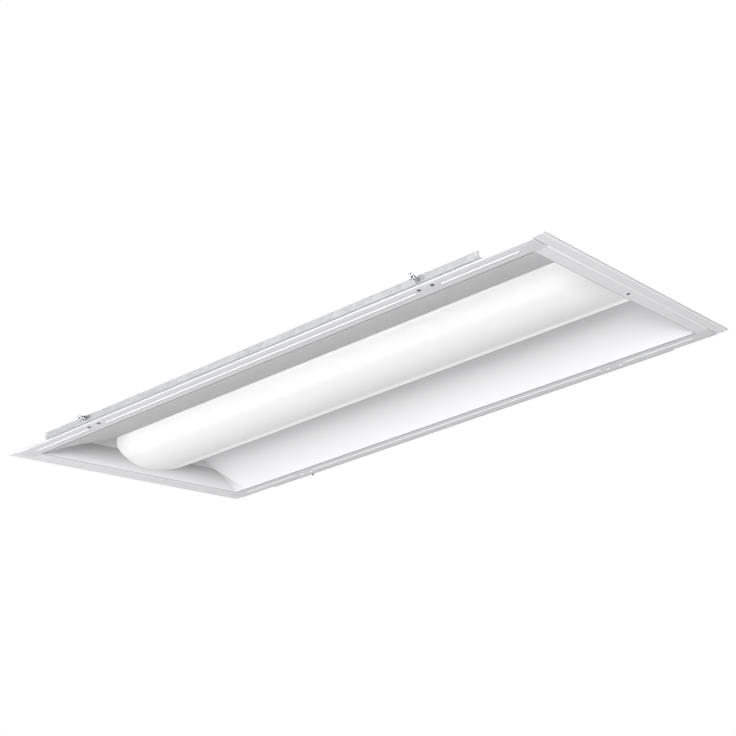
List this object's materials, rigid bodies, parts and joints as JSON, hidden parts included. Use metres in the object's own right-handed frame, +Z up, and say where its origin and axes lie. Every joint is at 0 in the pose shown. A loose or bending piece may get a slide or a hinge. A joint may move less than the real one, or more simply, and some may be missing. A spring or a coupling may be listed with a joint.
{
  "type": "troffer light",
  "caption": "Recessed ceiling troffer with a crowned centre lens between sloping reflector wings, side rails clamped by wing nuts, and a driver bay on its back.",
  "frame": {"origin": "centre of the lowest plane of the face, which is the crest of the stamped beads", "axes": "+X along the length, +Y across, +Z up into the ceiling; the lit face points to -Z"},
  "size_m": [1.213, 0.6364, 0.0998],
  "materials": {
    "frame_enamel": "smooth white powder coat, semi-matt",
    "reflector_enamel": "matt high-reflectance white enamel",
    "lens_acrylic": "satin opal acrylic diffuser",
    "galvanised_sheet": "galvanised, faint spangle",
    "cover_enamel": "white powder coat",
    "zinc_plate": "bright zinc plating",
    "dark_screw": "dark phosphate",
    "spring_steel": "blued spring steel",
    "board_white": "white solder mask",
    "diode_yellow": "phosphor under clear resin",
    "connector_white": "moulded nylon",
    "driver_shell": "white lacquered steel case",
    "terminal_grey": "moulded grey polyamide",
    "earth_green": "green lacquered steel",
    "black_nylon": "moulded black nylon"
  },
  "bodies": {
    "housing": {"bay_end_left": "galvanised_sheet", "bay_end_right": "galvanised_sheet", "board_diodes": "diode_yellow", "board_links": "connector_white", "board_screws": "zinc_plate", "bracket_screws": "dark_screw", "clamp_bolt_far_left": "zinc_plate", "clamp_bolt_far_right": "zinc_plate", "clamp_bolt_near_left": "zinc_plate", "clamp_bolt_near_right": "zinc_plate", "corner_straps": "galvanised_sheet", "cross_brace_left": "galvanised_sheet", "cross_brace_right": "galvanised_sheet", "driver_case": "driver_shell", "driver_screws": "zinc_plate", "end_plate_left": "reflector_enamel", "end_plate_right": "reflector_enamel", "end_rail_left": "frame_enamel", "end_rail_right": "frame_enamel", "end_screws": "zinc_plate", "ground_screw": "earth_green", "lead_bushing": "black_nylon", "lens_clips": "spring_steel", "light_board_far_left": "board_white", "light_board_far_right": "board_white", "light_board_near_left": "board_white", "light_board_near_right": "board_white", "light_tray": "galvanised_sheet", "long_rail_far": "frame_enamel", "long_rail_near": "frame_enamel", "rail_bracket_far_left": "galvanised_sheet", "rail_bracket_far_right": "galvanised_sheet", "rail_bracket_near_left": "galvanised_sheet", "rail_bracket_near_right": "galvanised_sheet", "reflector_wing_far": "reflector_enamel", "reflector_wing_near": "reflector_enamel", "terminal_block": "terminal_grey"},
    "near_rail": {"side_rail_near": "galvanised_sheet"},
    "far_rail": {"side_rail_far": "galvanised_sheet"},
    "lens_panel": {"lens": "lens_acrylic"},
    "bay_cover": {"driver_cover": "cover_enamel", "cover_screws": "zinc_plate"},
    "clamp_washer_near_left": {"washer_near_left": "zinc_plate"},
    "clamp_nut_near_left": {"wing_nut_near_left": "zinc_plate"},
    "clamp_washer_near_right": {"washer_near_right": "zinc_plate"},
    "clamp_nut_near_right": {"wing_nut_near_right": "zinc_plate"},
    "clamp_washer_far_left": {"washer_far_left": "zinc_plate"},
    "clamp_nut_far_left": {"wing_nut_far_left": "zinc_plate"},
    "clamp_washer_far_right": {"washer_far_right": "zinc_plate"},
    "clamp_nut_far_right": {"wing_nut_far_right": "zinc_plate"}
  },
  "joints": [
    {"name": "near_rail_slide", "type": "slide", "parent": "housing", "child": "near_rail", "axis": [1, 0, 0], "range_m": [-0.015, 0.009]},
    {"name": "far_rail_slide", "type": "slide", "parent": "housing", "child": "far_rail", "axis": [1, 0, 0], "range_m": [-0.012, 0.012]},
    {"name": "lens_release", "type": "slide", "parent": "housing", "child": "lens_panel", "axis": [0, 0, -1], "range_m": [0, 0.06]},
    {"name": "cover_lift", "type": "slide", "parent": "housing", "child": "bay_cover", "axis": [0, 0, 1], "range_m": [0, 0.06]},
    {"name": "nut_travel_near_left", "type": "slide", "parent": "housing", "child": "clamp_washer_near_left", "axis": [0, -1, 0], "range_m": [0, 0.0016]},
    {"name": "nut_turn_near_left", "type": "hinge", "parent": "clamp_washer_near_left", "child": "clamp_nut_near_left", "pos_m": [-0.3803, -0.3106, 0.01], "axis": [0, -1, 0], "range_deg": [0, 810]},
    {"name": "nut_travel_near_right", "type": "slide", "parent": "housing", "child": "clamp_washer_near_right", "axis": [0, -1, 0], "range_m": [0, 0.0016]},
    {"name": "nut_turn_near_right", "type": "hinge", "parent": "clamp_washer_near_right", "child": "clamp_nut_near_right", "pos_m": [0.3803, -0.3106, 0.01], "axis": [0, -1, 0], "range_deg": [0, 810]},
    {"name": "nut_travel_far_left", "type": "slide", "parent": "housing", "child": "clamp_washer_far_left", "axis": [0, 1, 0], "range_m": [0, 0.0016]},
    {"name": "nut_turn_far_left", "type": "hinge", "parent": "clamp_washer_far_left", "child": "clamp_nut_far_left", "pos_m": [-0.3803, 0.3106, 0.01], "axis": [0, 1, 0], "range_deg": [0, 810]},
    {"name": "nut_travel_far_right", "type": "slide", "parent": "housing", "child": "clamp_washer_far_right", "axis": [0, 1, 0], "range_m": [0, 0.0016]},
    {"name": "nut_turn_far_right", "type": "hinge", "parent": "clamp_washer_far_right", "child": "clamp_nut_far_right", "pos_m": [0.3803, 0.3106, 0.01], "axis": [0, 1, 0], "range_deg": [0, 810]}
  ],
  "couplings": [
    {"joint": "nut_travel_near_left", "follows": "nut_turn_near_left", "m_per_rad": 0.00011141},
    {"joint": "nut_travel_near_right", "follows": "nut_turn_near_right", "m_per_rad": 0.00011141},
    {"joint": "nut_travel_far_left", "follows": "nut_turn_far_left", "m_per_rad": 0.00011141},
    {"joint": "nut_travel_far_right", "follows": "nut_turn_far_right", "m_per_rad": 0.00011141}
  ]
}
